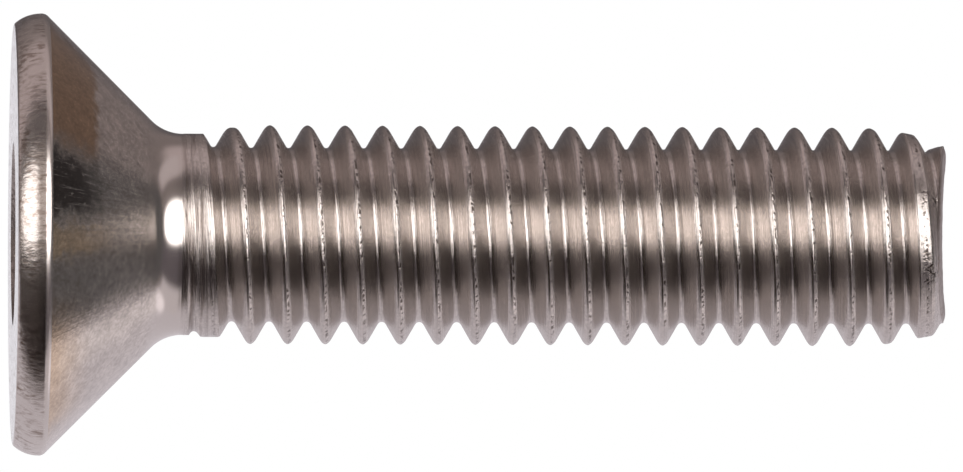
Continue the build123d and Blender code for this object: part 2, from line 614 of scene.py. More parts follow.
        return numbers[:turn, 0], edge[total : total + turn]

    def tip(self, skin: Skin, ring: np.ndarray, azimuth: np.ndarray, base: float) -> None:
        """The last turn up to the cropped end, the end's rounded edge, and the dished end itself.

        Args:
            skin: the surface that takes the tip.
            ring: the strip's upper ring of point numbers.
            azimuth: the azimuth of each column.
            base: the ring's height.
        """
        first = math.radians(self.edge_start)
        edge = self.end_radius + self.rounding * math.cos(first)
        drop = self.rounding * (1.0 - math.sin(first))
        top = self.end_height(azimuth, np.full(azimuth.shape, edge)) - drop
        share = (np.arange(1, self.tip_rows + 1) / self.tip_rows)[:, None]
        height = base + share * (top - base)
        turned = np.broadcast_to(azimuth, height.shape)
        chips = self.chipped(turned, height) * ramp(height, *self.chip_heights)
        side = around(turned, self.radius(turned, height) - chips, height)
        numbers = skin.add(side, self.thread.marks(turned, height))
        skin.bridge(np.concatenate([ring[None], numbers]), Finish.ROLLED)
        rim = self.radius(azimuth, top) - self.chipped(azimuth, top)
        corner = np.linspace(first, 0.5 * math.pi, self.edge_rings)[1:, None]
        radius = rim - self.rounding * (math.cos(first) - np.cos(corner))
        sunk = self.rounding * (1.0 - np.sin(corner))
        inner = (1.0 - np.arange(1, self.end_rows) / self.end_rows)[:, None] * radius[-1]
        whole = np.concatenate([radius, inner])
        turned = np.broadcast_to(azimuth, whole.shape)
        level = self.end_height(turned, whole)
        level[: len(sunk)] -= sunk
        level -= self.end_chip * self.chipped(turned, self.length + whole)
        ends = skin.add(around(turned, whole, level), np.zeros(2))
        pole = skin.pole(self.length - self.dish_depth, self.columns)
        skin.bridge(np.concatenate([numbers[-1:], ends, pole[None]]), Finish.SHEARED)

    def build(self) -> bpy.types.Object:
        """Makes the shank as one closed surface.

        Returns:
            The object.
        """
        skin = Skin(self.name)
        lower, upper = self.strip(skin)
        begin = self.first_azimuth + 360.0 * np.arange(self.columns) / self.columns
        base = self.sizes.joint_height + self.thread.pitch * (self.total / self.columns - 1.0)
        pole = skin.pole(self.sizes.joint_height, self.columns)
        skin.bridge(np.stack([pole, lower]), Finish.ROLLED)
        self.tip(skin, upper, begin + 360.0 * self.total / self.columns, base)
        return skin.finished()


@dataclass
class Head:
    """The countersunk head, from the socket's point out over the face, the rim and the cone to the neck."""

    sizes: Sizes
    name: str = "screw_head"
    columns: int = 720
    radius: float = 5.908
    rim_inset: float = 0.286
    rim_rings: int = 21
    corner: float = 0.25
    corner_rings: int = 9
    cone_rings: int = 40
    rounding_rings: int = 18
    eccentricity: float = 0.029
    widest_azimuth: float = 45.0  # the way that the rim was pressed off centre
    face_edge: float = 0.03
    edge_lift: float = 0.35  # the height of the rim's first ring, as a share of the face's edge
    across_flats: float = 4.04
    socket_depth: float = 2.4
    mouth_bevel: float = 0.42
    socket_turn: float = 14.0
    point_radius: float = 1.8
    point_depth: float = 0.45
    point_shares: tuple[float, ...] = (0.25, 0.5, 0.75, 1.0)
    floor_shares: tuple[float, ...] = (0.05, 0.5, 0.9, 1.0)
    wall_heights: tuple[float, ...] = (2.36, 1.9, 1.4, 0.9, 0.5, 0.36, 0.3, 0.24, 0.18, 0.12, 0.06, 0.0)
    face_shares: tuple[float, ...] = (0.02, 0.15, 0.35, 0.55, 0.75, 0.9, 0.97, 1.0)
    press_depth: float = 0.006
    press_cell: float = 0.09
    press_coarse: float = 2.1  # the larger cells' side, in cells
    press_stretch: float = 2.4
    press_seeds: tuple[int, int] = (31, 32)
    press_shares: tuple[float, float, float] = (0.5, 0.3, 0.2)  # even, large and small
    press_fade_in: tuple[float, float] = (0.01, 0.12)
    press_fade_out: tuple[float, float] = (-0.02, 0.07)  # from the rim's top

    @property
    def rim_top(self) -> float:
        """Height where the rim ends and the corner that rounds it into the cone begins."""
        return self.sizes.cone_sum - self.radius - self.corner * (math.sqrt(2.0) - 1.0)

    def hexagon(self, azimuth: np.ndarray) -> np.ndarray:
        """The socket's radius: half its width across flats over the cosine of the turn from a flat."""
        return 0.5 * self.across_flats / np.cos(np.radians((azimuth - self.socket_turn) % 60.0 - 30.0))

    def shortfall(self, azimuth: np.ndarray) -> np.ndarray:
        """How far the rim, which was pressed off centre, lies inside its widest radius: 1 less a cosine."""
        return self.eccentricity * (1.0 - np.cos(np.radians(azimuth - self.widest_azimuth)))

    def socket(self, azimuth: np.ndarray) -> tuple[np.ndarray, np.ndarray]:
        """Rings of the socket, from its floor to its mouth.

        The mouth's bevel is a 45 degree cone that widens the flats and leaves the corners as they are.

        Args:
            azimuth: the azimuth of each column.

        Returns:
            The radius and the height of each ring at each azimuth.
        """
        flats = self.hexagon(azimuth)
        mouth = 0.5 * self.across_flats + self.mouth_bevel
        shares, spans, wall_heights = (
            np.array(kept)[:, None] for kept in (self.point_shares, self.floor_shares, self.wall_heights)
        )
        point = np.broadcast_to(shares * self.point_radius, (shares.size, azimuth.size))
        point_heights = self.socket_depth + (1.0 - shares) * self.point_depth
        floor = self.point_radius + spans * (flats - self.point_radius)
        wall = np.maximum(flats, mouth - wall_heights)
        radii = np.concatenate([point, floor, wall])
        heights = np.concatenate([point_heights, np.full(spans.shape, self.socket_depth), wall_heights])
        return radii, np.broadcast_to(heights, radii.shape)

    def face(self, mouth: np.ndarray, azimuth: np.ndarray) -> np.ndarray:
        """Rings of the flat face, spread evenly between the socket's mouth and the rim.

        Args:
            mouth: the mouth's radius at each azimuth.
            azimuth: the azimuth of each column.

        Returns:
            The radius of each ring at each azimuth.
        """
        edge = self.radius - self.rim_inset - self.face_edge - self.shortfall(azimuth)
        return mouth + np.array(self.face_shares)[:, None] * (edge - mouth)

    def outside(self, azimuth: np.ndarray) -> tuple[np.ndarray, np.ndarray]:
        """The surface outside the face: the rim's arc, the corner, the 45 degree cone and the rounding.

        The rim and the corner move in by the rim's shortfall. The corner moves up by as much, along the cone,
        and the cone's rings close up to make room for it.

        Args:
            azimuth: the azimuth of each column.

        Returns:
            Radii and heights of the rings at each azimuth, from the face to the joint on the neck.
        """
        bulge = (self.rim_inset**2 + self.rim_top**2) / (2.0 * self.rim_inset)
        lean = math.degrees(math.asin(self.rim_top / bulge))
        turned = np.radians(np.linspace(-lean, 0.0, self.rim_rings))
        rim_radii = self.radius - bulge * (1.0 - np.cos(turned))
        rim_heights = self.rim_top + bulge * np.sin(turned)
        rim_heights[0] = self.edge_lift * self.face_edge
        bent = np.radians(np.linspace(0.0, 45.0, self.corner_rings + 1)[1:])
        corner_radii = self.radius - self.corner * (1.0 - np.cos(bent))
        middle_radius, middle_height = self.sizes.rounding_centre
        slant = self.sizes.rounding * math.sqrt(0.5)
        cone_radii = np.linspace(corner_radii[-1], middle_radius - slant, self.cone_rings)[1:]
        neck_end = math.degrees(math.asin((middle_height - self.sizes.joint_height) / self.sizes.rounding))
        swept = np.radians(np.linspace(45.0, neck_end, self.rounding_rings)[1:])
        rings = (
            (rim_radii, rim_heights, np.ones(self.rim_rings)),
            (corner_radii, self.rim_top + self.corner * np.sin(bent), np.ones(self.corner_rings)),
            (cone_radii, self.sizes.cone_sum - cone_radii, np.linspace(1.0, 0.0, cone_radii.size)),
            (
                middle_radius - self.sizes.rounding * np.cos(swept),
                middle_height - self.sizes.rounding * np.sin(swept),
                np.zeros(swept.size),
            ),
        )
        radii, heights, inward = (np.concatenate(kind)[:, None] for kind in zip(*rings))
        upward = inward.copy()
        upward[: self.rim_rings, 0] = rim_heights / self.rim_top
        short = self.shortfall(azimuth)
        return radii - inward * short, heights + upward * short

    def pressed(self, azimuth: np.ndarray, height: np.ndarray) -> np.ndarray:
        """The rim's pressed wrinkles: two sizes of noise, drawn out along the axis.

        Args:
            azimuth: degrees from +X.
            height: millimetres from the face.

        Returns:
            How deep they are, in millimetres.
        """
        points = around(azimuth, np.full(azimuth.shape, self.radius), height / self.press_stretch)
        large = value_noise(points, self.press_coarse * self.press_cell, self.press_seeds[0])
        small = value_noise(points, self.press_cell, self.press_seeds[1])
        even, large_share, small_share = self.press_shares
        fade_start, fade_end = (self.rim_top + past for past in self.press_fade_out)
        across_rim = ramp(height, *self.press_fade_in) * (1.0 - ramp(height, fade_start, fade_end))
        return self.press_depth * (even + large_share * large + small_share * small) * across_rim

    def build(self) -> bpy.types.Object:
        """Makes the head as one closed surface.

        Returns:
            The object.
        """
        azimuth = 360.0 * np.arange(self.columns) / self.columns
        skin = Skin(self.name)
        unmarked = np.zeros(2)
        socket_radii, socket_heights = self.socket(azimuth)
        face_radii = self.face(socket_radii[-1], azimuth)
        radii, heights = self.outside(azimuth)
        radii = radii - self.pressed(np.broadcast_to(azimuth, radii.shape), heights)
        pole = skin.pole(self.socket_depth + self.point_depth, self.columns)
        socket = skin.add(around(azimuth, socket_radii, socket_heights), unmarked)
        face = skin.add(around(azimuth, face_radii, np.zeros_like(face_radii)), unmarked)
        outside = skin.add(around(azimuth, radii, heights), unmarked)
        lap_height = self.sizes.joint_height + self.sizes.joint_lap
        lap = np.full(azimuth.shape, self.sizes.neck_radius - self.sizes.joint_step)
        inner = skin.add(around(azimuth, lap[None], np.full((1, 1), lap_height)), unmarked)
        cap = skin.pole(lap_height, self.columns)
        corner_end = self.rim_rings + self.corner_rings
        skin.bridge(np.concatenate([pole[None], socket]), Finish.PUNCHED)
        skin.bridge(np.concatenate([socket[-1:], face, outside[:1]]), Finish.FACED)
        skin.bridge(outside[:corner_end], Finish.PRESSED)
        skin.bridge(np.concatenate([outside[corner_end - 1 :], inner, cap[None]]), Finish.DRAWN)
        return skin.finished()


# ---------------------------------------------------------------- materials


def linear(code: str) -> tuple[float, float, float, float]:
    """Turns an sRGB colour to linear light: c / 12.92 up to 0.04045, and ((c + 0.055) / 1.055)^2.4 above.

    Args:
        code: a hex colour, such as "#C8C4BE".

    Returns:
        Red, green and blue, and an alpha of 1.
    """
    parts = [int(code[at : at + 2], 16) / 255.0 for at in (1, 3, 5)]
    red, green, blue = (p / 12.92 if p <= 0.04045 else ((p + 0.055) / 1.055) ** 2.4 for p in parts)
    return red, green, blue, 1.0


def add_node(
    tree: bpy.types.NodeTree,
    kind: str,
    *values: NodeValue,
    named: dict[str, NodeValue] | None = None,
    **settings: str,
) -> bpy.types.Node:
    """Adds a node with its settings and links.

    Args:
        tree: the material's or world's node tree.
        kind: the node's type after "ShaderNode", such as "Mix".
        values: what goes into the sockets that the settings leave in use, in their order. Each is a plain
            value, the output that the socket is linked to, or a node, which gives its first output in use.
        named: the same for sockets by their names.
        settings: the node's own settings.

    Returns:
        The new node.
    """
    node = tree.nodes.new("ShaderNode" + kind)
    for key, setting in settings.items():
        setattr(node, key, setting)
    in_use = [socket for socket in node.inputs if socket.enabled]
    by_name = [(node.inputs[key], value) for key, value in (named or {}).items()]
    for socket, value in [*zip(in_use, values), *by_name]:
        if isinstance(value, bpy.types.Node):
            value = next(output for output in value.outputs if output.enabled)
        if isinstance(value, bpy.types.NodeSocket):
            tree.links.new(value, socket)
        else:
            socket.default_value = value
    return node


def new_material(name: str) -> tuple[bpy.types.Material, bpy.types.NodeTree]:
    """Makes an empty material.

    Args:
        name: its name.

    Returns:
        The material and its node tree.
    """
    material = bpy.data.materials.new(name)
    material.use_nodes = True
    material.node_tree.nodes.clear()
    return material, material.node_tree


def place_in_mm(tree: bpy.types.NodeTree) -> bpy.types.Node:
    """Object coordinates in millimetres, so that a pattern's scale is a count to the millimetre."""
    metres = add_node(tree, "TexCoord").outputs["Object"]
    return add_node(tree, "VectorMath", metres, 1.0 / MM, operation="SCALE")


def band(
    tree: bpy.types.NodeTree, value: NodeValue, low: float, high: float, softness: float
) -> bpy.types.Node:
    """How far a value lies inside a band: 1 inside, 0 outside, eased over the softness at both edges.

    Args:
        tree: the material's node tree.
        value: the value to test.
        low: the band's lower edge.
        high: the band's upper edge.
        softness: how far the easing reaches to either side of an edge.

    Returns:
        The product of a rise at the lower edge and a fall at the upper edge.
    """
    add = partial(add_node, tree)
    rise = add("MapRange", value, low - softness, low + softness, interpolation_type="SMOOTHSTEP")
    fall = add("MapRange", value, high + softness, high - softness, interpolation_type="SMOOTHSTEP")
    return add("Math", rise, fall, operation="MULTIPLY")


@dataclass(frozen=True)
class Steel:
    """A2 stainless steel, the metal of every finish: a warm grey that mirrors what stands round it."""

    name: str
    colour: str = "#CCC5C0"
    roughness: float = 0.2

    def finished(
        self,
        material: bpy.types.Material,
        colour: bpy.types.Node,
        roughness: bpy.types.Node,
        relief: bpy.types.Node,
        depth: float,
    ) -> bpy.types.Material:
        """Joins a finish's patterns to the metal's shader.

        Args:
            material: the material to finish.
            colour: its colour.
            roughness: its roughness.
            relief: its height, from 0 to 1.
            depth: how high 1 is, in millimetres.

        Returns:
            The material.
        """
        tree = material.node_tree
        bump = add_node(tree, "Bump", named={"Distance": depth * MM, "Height": relief})
        metal = {"Base Color": colour, "Metallic": 1.0, "Roughness": roughness, "Normal": bump}
        add_node(tree, "OutputMaterial", add_node(tree, "BsdfPrincipled", named=metal))
        return material


@dataclass(frozen=True)
class RolledSteel(Steel):
    """The cold-rolled thread and neck.

    The dies drag the metal along the thread, which leaves fine streaks along the flanks. They polish the
    roots and the crests, and leave a ragged seam with small pits along each crest; the pits' dark colour is
    painted shade. The neck keeps deeper ring marks and is duller. The last crest is torn, with pits in
    patches. The real streaks are about 0.02 mm wide, and they are drawn about 0.06 mm wide so that they show.
    """

    name: str = "rolled_stainless_steel"
    roughness: float = 0.17
    streaks: float = 7.0  # 44 steps of noise round the circle that stands for one pitch
    streak_drift: float = 0.5
    streak_depth: float = 0.012
    flank_band: tuple[float, float, float] = (-0.86, 0.93, 0.05)  # between root and crest, which are polished
    flank_roughness: float = 0.27
    grit_per_mm: float = 12.0
    worn_range: tuple[float, float] = (0.15, 0.35)
    worn_shade: float = 0.78
    crest_range: tuple[float, float] = (0.7, 0.85)
    seam_band: tuple[float, float, float] = (0.08, 0.5, 0.12)
    pits_per_mm: float = 8.0
    pit_range: tuple[float, float] = (0.5, 0.64)
    pit_share: float = 0.5  # of the streaks' depth
    # the pits' dark colour is painted shade
    pit_shade_colour: str = "#6E655F"
    torn_from: float = 23.95
    torn_fade: float = 0.15
    torn_band: tuple[float, float, float] = (-1.2, 1.2, 0.15)
    patches_per_mm: float = 0.9
    patch_range: tuple[float, float] = (0.46, 0.54)
    neck_start: float = 4.35
    neck_end: float = 5.1
    neck_fade: float = 0.1
    mark_fade: float = 0.3
    neck_share: float = 1.1  # of the streaks' depth
    neck_roughness: float = 0.25
    neck_soil: str = "#948A84"
    ring_shape: tuple[float, float, float] = (0.07, 0.07, 1.0)
    rings_per_mm: float = 6.0
    ring_range: tuple[float, float] = (0.42, 0.6)

    def material(self) -> bpy.types.Material:
        """Makes the material. Its streaks follow the mesh's marks, which run round a circle once a pitch.

        The marks' cosine is 1 on the crest and -1 in the root, and their sine tells the crest's two sides
        apart. Wherever two patterns meet, the product keeps what lies in both and the maximum what lies in
        either.

        Returns:
            The material.
        """
        material, tree = new_material(self.name)
        add = partial(add_node, tree)
        place = place_in_mm(tree)
        across, _, height = add("SeparateXYZ", place).outputs
        neck = add("MapRange", height, self.neck_end + self.neck_fade, self.neck_end - self.neck_fade)
        marked = add("MapRange", height, self.neck_start, self.neck_start + self.mark_fade)
        thread = add("MapRange", height, self.neck_end, self.neck_end + self.mark_fade)
        on_neck = add("Math", neck, marked, operation="MULTIPLY")

        grain = add("Attribute", attribute_name=GRAIN).outputs["Vector"]
        cosine, sine, _ = add("SeparateXYZ", grain).outputs
        drift = add("VectorMath", place, self.streak_drift, operation="SCALE")
        wound = add("VectorMath", grain, (self.streaks,) * 3, drift, operation="MULTIPLY_ADD")
        streak = add("TexNoise", wound, 1.0, LAYERS)
        grit = add("TexNoise", place, self.grit_per_mm, LAYERS)
        worn = add("Math", grit, streak, operation="MULTIPLY")
        shade = add("MapRange", worn, *self.worn_range, self.worn_shade)

        top = add("MapRange", cosine, *self.crest_range)
        seam = add("Math", top, band(tree, sine, *self.seam_band), operation="MULTIPLY")
        on_crest = add("Math", seam, thread, operation="MULTIPLY")
        end = add("MapRange", height, self.torn_from, self.torn_from + self.torn_fade)
        near = add("Math", end, band(tree, across, *self.torn_band), operation="MULTIPLY")
        patchy = add("MapRange", add("TexNoise", place, self.patches_per_mm, FEW_LAYERS), *self.patch_range)
        torn = add("Math", near, patchy, operation="MULTIPLY")
        open_to_pits = add("Math", on_crest, torn, operation="MAXIMUM")
        pitted = add("MapRange", add("TexNoise", place, self.pits_per_mm, FEW_LAYERS), *self.pit_range)
        pits = add("Math", pitted, open_to_pits, operation="MULTIPLY")

        flattened = add("VectorMath", place, self.ring_shape, operation="MULTIPLY")
        ringed = add("MapRange", add("TexNoise", flattened, self.rings_per_mm, LAYERS), *self.ring_range)
        soiled = add("Math", ringed, on_neck, operation="MULTIPLY")
        metal = add("Mix", soiled, linear(self.colour), linear(self.neck_soil), data_type="RGBA")
        streaked = add("Mix", marked, metal, shade, data_type="RGBA", blend_type="MULTIPLY")
        # the pits on the crests and at the torn end are painted dark: painted shade in them
        colour = add("Mix", pits, streaked, linear(self.pit_shade_colour), data_type="RGBA")

        dull = add("Math", band(tree, cosine, *self.flank_band), thread, operation="MULTIPLY")
        rolled = add("MapRange", dull, 0.0, 1.0, self.roughness, self.flank_roughness)
        rough = add("MapRange", on_neck, 0.0, 1.0, rolled, self.neck_roughness)

        sunk = add("Math", pits, self.pit_share, operation="MULTIPLY")
        pierced = add("Math", streak, sunk, operation="SUBTRACT")
        share = add("MapRange", neck, 0.0, 1.0, 1.0, self.neck_share)
        raised = add("Math", pierced, share, operation="MULTIPLY")
        relief = add("Math", raised, marked, operation="MULTIPLY")
        return self.finished(material, colour, rough, relief, self.streak_depth)


@dataclass(frozen=True)
class Stain:
    """A coloured patch on the cone, stain and in places painted reflection: its colour, the azimuths and
    heights it lies between, and how far they fade.
    """

    colour: str
    azimuths: tuple[float, float]
    heights: tuple[float, float]
    edge: float
    fade: float


@dataclass(frozen=True)
class DrawnSteel(Steel):
    """The cone and the rounding under it, formed in the heading die.

    The metal flowed outwards along the cone, which leaves fine radial streaks. The rounding is burnished. The
    outer third of the cone has a straw-coloured heat tint that deepens to brown on one side. A narrow band of
    the tint on the line that faces the camera also paints the olive of the cone's straight-up reflection
    there.
    Beside the brown there is a dark scuffed patch with bright scratches in it, whose dark colour also paints
    the cone's dark reflection there. The real streaks are about 0.02 mm wide, and they are drawn about 0.05
    mm wide so that they show.
    """

    name: str = "drawn_stainless_steel"
    roughness: float = 0.2
    straws_and_reflection_tint: tuple[Stain, ...] = (
        Stain("#D0BAA2", (-64.0, -20.0), (0.4, 1.35), 9.0, 0.75),
        # a band of straw tint on the line that faces the camera, which also paints the olive of the cone's
        # straight-up reflection
        Stain("#CFBFAA", (-6.0, 3.0), (0.5, 2.2), 3.0, 0.6),
        Stain("#D0BAA2", (110.0, 160.0), (0.4, 1.4), 9.0, 0.75),
        Stain("#AD9680", (25.0, 74.0), (0.4, 2.1), 6.0, 0.1),
    )
    # a dark scuff, whose dark colour also paints the cone's dark reflection there
    scuff_and_dark_reflection: Stain = Stain("#706A66", (6.0, 22.0), (0.4, 2.0), 2.5, 0.5)
    scuff_and_reflection_range: tuple[float, float] = (0.68, 0.62)
    unbroken_range: tuple[float, float] = (0.7, 0.64)
    wear: Stain = Stain("#BAB3AE", (0.0, 25.0), (1.6, 3.7), 5.0, 0.6)
    wear_range: tuple[float, float] = (0.58, 0.4)
    tint_wander: float = 0.5
    turn_wander: float = 16.0
    streaks: float = 80.0  # 500 steps of noise round the cone
    streak_drift: float = 0.7
    blots_per_mm: float = 2.4
    blot_layers: float = 5.0
    blot_roughness: float = 0.65
    grit_per_mm: float = 10.0
    grit_share: float = 2.0  # of the streaks' depth
    noise_range: tuple[float, float] = (0.35, 0.65)
    blot_shades: tuple[float, float] = (0.86, 1.08)
    grit_shades: tuple[float, float] = (0.88, 1.1)
    relief_depth: float = 0.0015
    dull_heights: tuple[float, float] = (1.7, 3.0)
    dull_roughness: float = 0.268
    burnished_heights: tuple[float, float] = (3.3, 3.95)
    burnished_roughness: float = 0.15

    @staticmethod
    def azimuth(tree: bpy.types.NodeTree, place: bpy.types.Node) -> bpy.types.Node:
        """The azimuth in degrees, from the screw's -Y side towards -X.

        Args:
            tree: the material's node tree.
            place: the point in millimetres.

        Returns:
            The angle whose tangent is x over y, with both turned round.
        """
        away = add_node(tree, "VectorMath", place, (-1.0, -1.0, 1.0), operation="MULTIPLY")
        side, front, _ = add_node(tree, "SeparateXYZ", away).outputs
        turned = add_node(tree, "Math", side, front, operation="ARCTAN2")
        return add_node(tree, "Math", turned, operation="DEGREES")

    def streaked(self, tree: bpy.types.NodeTree, place: bpy.types.Node) -> bpy.types.Node:
        """Radial streaks.

        Args:
            tree: the material's node tree.
            place: the point in millimetres.

        Returns:
            Noise over the direction from the axis, drawn out along the cone.
        """
        add = partial(add_node, tree)
        level = add("VectorMath", place, (1.0, 1.0, 0.0), operation="MULTIPLY")
        outward = add("VectorMath", level, operation="NORMALIZE")
        drift = add("VectorMath", place, self.streak_drift, operation="SCALE")
        fanned = add("VectorMath", outward, (self.streaks,) * 3, drift, operation="MULTIPLY_ADD")
        return add("TexNoise", fanned, 1.0, FEW_LAYERS)

    def material(self) -> bpy.types.Material:
        """Makes the material: the stains' edges wander with a noise, and blots and grit shade the metal.

        Returns:
            The material.
        """
        material, tree = new_material(self.name)
        add = partial(add_node, tree)
        place = place_in_mm(tree)
        height = add("SeparateXYZ", place).outputs["Z"]
        azimuth = self.azimuth(tree, place)
        streak = self.streaked(tree, place)
        grit = add("TexNoise", place, self.grit_per_mm, LAYERS)
        blot = add("TexNoise", place, self.blots_per_mm, self.blot_layers, self.blot_roughness)

        centred = add("Math", blot, 0.5, operation="SUBTRACT")
        level = add("Math", centred, self.tint_wander, height, operation="MULTIPLY_ADD")
        turn = add("Math", centred, self.turn_wander, azimuth, operation="MULTIPLY_ADD")
        worn = add("MapRange", streak, *self.wear_range)
        unbroken = add("MapRange", grit, *self.unbroken_range)
        # the scuff's darkening, also a painted dark reflection, broken where the grit leaves bright scratches
        dark = add("Math", add("MapRange", streak, *self.scuff_and_reflection_range), unbroken, operation="MULTIPLY")
        metal = linear(self.colour)
        laid = [(straw, None) for straw in self.straws_and_reflection_tint]
        for stain, pattern in [*laid, (self.wear, worn), (self.scuff_and_dark_reflection, dark)]:
            around_axis = band(tree, turn, *stain.azimuths, stain.edge)
            along_axis = band(tree, level, *stain.heights, stain.fade)
            mask = add("Math", around_axis, along_axis, operation="MULTIPLY")
            if pattern is not None:
                mask = add("Math", mask, pattern, operation="MULTIPLY")
            metal = add("Mix", mask, metal, linear(stain.colour), data_type="RGBA")
        blotted = add("MapRange", blot, *self.noise_range, *self.blot_shades)
        gritty = add("MapRange", grit, *self.noise_range, *self.grit_shades)
        shade = add("Math", blotted, gritty, operation="MULTIPLY")
        shaded = add("Mix", 1.0, metal, shade, data_type="RGBA", blend_type="MULTIPLY")

        burnished = add("MapRange", height, *self.burnished_heights, interpolation_type="SMOOTHSTEP")
        colour = add("Mix", burnished, shaded, linear(self.colour), data_type="RGBA")
        dulling = (self.roughness, self.dull_roughness)
        dulled = add("MapRange", height, *self.dull_heights, *dulling, interpolation_type="SMOOTHSTEP")
        rough = add("MapRange", burnished, 0.0, 1.0, dulled, self.burnished_roughness)
        grainy = add("Math", grit, self.grit_share, streak, operation="MULTIPLY_ADD")
        left = add("Math", 1.0, burnished, operation="SUBTRACT")
        relief = add("Math", grainy, left, operation="MULTIPLY")
        return self.finished(material, colour, rough, relief, self.relief_depth)


@dataclass(frozen=True)
class GrainedSteel(Steel):
    """A finish with one kind of grain, drawn out along the axis, and dirt and painted shade in its low
    places.

    The real grain is 0.01 to 0.05 mm wide, and it is drawn 0.1 to 0.2 mm wide so that it shows.
    """

    # the darker colour of the grain's low places, which paints soil and the shade that falls there
    soil_and_shade_colour: str = "#7E6C60"
    soil_and_shade_share: float = 0.6
    low_range: tuple[float, float] = (0.55, 0.38)
    low_roughness: float = 0.35
    grains_per_mm: float = 7.0
    grain_stretch: float = 1.0
    grain_depth: float = 0.01
    grain_roughness: float = 0.6
    patches_per_mm: float = 1.7
    patch_range: tuple[float, float] = (0.35, 0.65)
    smooth_from: float = 100.0  # past the tip, so that nothing is burnished
    smooth_fade: tuple[float, float] = (0.03, -0.05)

    def material(self) -> bpy.types.Material:
        """Makes the material. Dirt and painted shade lie in low patches; above the height smooth_from it is
        burnished.

        Returns:
            The material.
        """
        material, tree = new_material(self.name)
        add = partial(add_node, tree)
        place = place_in_mm(tree)
        height = add("SeparateXYZ", place).outputs["Z"]
        drawn = add("VectorMath", place, (1.0, 1.0, 1.0 / self.grain_stretch), operation="MULTIPLY")
        grain = add("TexNoise", drawn, self.grains_per_mm, LAYERS, self.grain_roughness)
        edges = (self.smooth_from + past for past in self.smooth_fade)
        unburnished = add("MapRange", height, *edges, interpolation_type="SMOOTHSTEP")
        low = add("Math", add("MapRange", grain, *self.low_range), unburnished, operation="MULTIPLY")
        spread = add("MapRange", add("TexNoise", place, self.patches_per_mm, LAYERS), *self.patch_range)
        # the grain's low places, in patches, painted darker: soil and painted shade
        soil_and_shade = add("Math", low, spread, operation="MULTIPLY")
        amount = add("Math", soil_and_shade, self.soil_and_shade_share, operation="MULTIPLY")
        colour = add("Mix", amount, linear(self.colour), linear(self.soil_and_shade_colour), data_type="RGBA")
        rough = add("MapRange", low, 0.0, 1.0, self.roughness, self.low_roughness)
        relief = add("Math", grain, unburnished, operation="MULTIPLY")
        return self.finished(material, colour, rough, relief, self.grain_depth)


@dataclass(frozen=True)
class ShearedSteel(GrainedSteel):
    """The end of the tip, where the wire was cropped: a dark, dull tear with a deep grain whose low places
    hold dirt and painted shade.
    """

    name: str = "sheared_stainless_steel"
    colour: str = "#A8A09B"
    roughness: float = 0.3
    soil_and_shade_share: float = 0.9
    grains_per_mm: float = 9.0
    grain_depth: float = 0.015


@dataclass(frozen=True)
class PressedSteel(GrainedSteel):
    """The rim, where the wire's wrinkled skin was pressed against the die.

    The wrinkles show as dark marks that are drawn out along the axis, between bright pressed patches. Their
    low places are painted dark with dirt and with the shade that falls there. The corner that runs into the
    cone is burnished.
    """

    name: str = "pressed_stainless_steel"
    roughness: float = 0.23
    # dirt and painted shade in the wrinkles' low places
    soil_and_shade_share: float = 0.9
    low_roughness: float = 0.27
    grains_per_mm: float = 9.0
    grain_stretch: float = 3.0
    grain_depth: float = 0.008
    smooth_from: float = 0.76


@dataclass(frozen=True)
class FacedSteel(GrainedSteel):
    """The flat face, pressed by the punch's smooth shoulder: bright and plain, with little dirt and painted
    shade in its low places.
    """

    name: str = "faced_stainless_steel"
    soil_and_shade_share: float = 0.2
    grains_per_mm: float = 5.0
    grain_depth: float = 0.002


@dataclass(frozen=True)
class PunchedSteel(GrainedSteel):
    """The socket, where the punch dragged the metal: long marks along its walls, in a darker colour, with
    dirt and painted shade in their low places.
    """

    name: str = "punched_stainless_steel"
    colour: str = "#9C948F"
    soil_and_shade_colour: str = "#5A514B"
    soil_and_shade_share: float = 0.9
    grains_per_mm: float = 9.0
    grain_stretch: float = 8.0


# ---------------------------------------------------------------- the studio


@dataclass(frozen=True)
class Panel:
    """One part of the surround: how bright it is, and where, as the screw's axis sees it.

    A turn is counted round the screw's axis from the camera's side towards -X, and a rise from level with the
    screw up towards +Z, both in degrees. Edges fade over the softness.
    """

    colour: tuple[float, float, float]
    turns: tuple[float, float] = (-180.0, 180.0)
    rises: tuple[float, float] = (-90.0, 90.0)
    softness: float = 4.0
    rise_softness: float = 6.0
    corners: float = 0.0

    def cover(self, turn: np.ndarray, rise: np.ndarray) -> np.ndarray:
        """How much of the panel there is in each direction.

        A panel with rounded corners is a superellipse, where the shares of its half width and half height,
        raised to the power "corners", add up to 1. Any other panel is a rectangle.

        Args:
            turn: each direction's turn.
            rise: each direction's rise.

        Returns:
            A share from 0 to 1.
        """
        first, last = self.turns
        low, high = self.rises
        half = 0.5 * (last - first)
        away = np.abs((turn - 0.5 * (first + last) + 180.0) % 360.0 - 180.0)
        if self.corners:
            above = np.abs(rise - 0.5 * (low + high)) / (0.5 * (high - low))
            reach = ((away / half) ** self.corners + above**self.corners) ** (1.0 / self.corners)
            return 1.0 - ramp(reach, 1.0 - self.softness / half, 1.0 + self.softness / half)
        share = np.ones_like(away)
        if half < 180.0:
            share *= 1.0 - ramp(away, half - self.softness, half + self.softness)
        if low > -90.0:
            share *= ramp(rise, low - self.rise_softness, low + self.rise_softness)
        if high < 90.0:
            share *= 1.0 - ramp(rise, high - self.rise_softness, high + self.rise_softness)
        return share


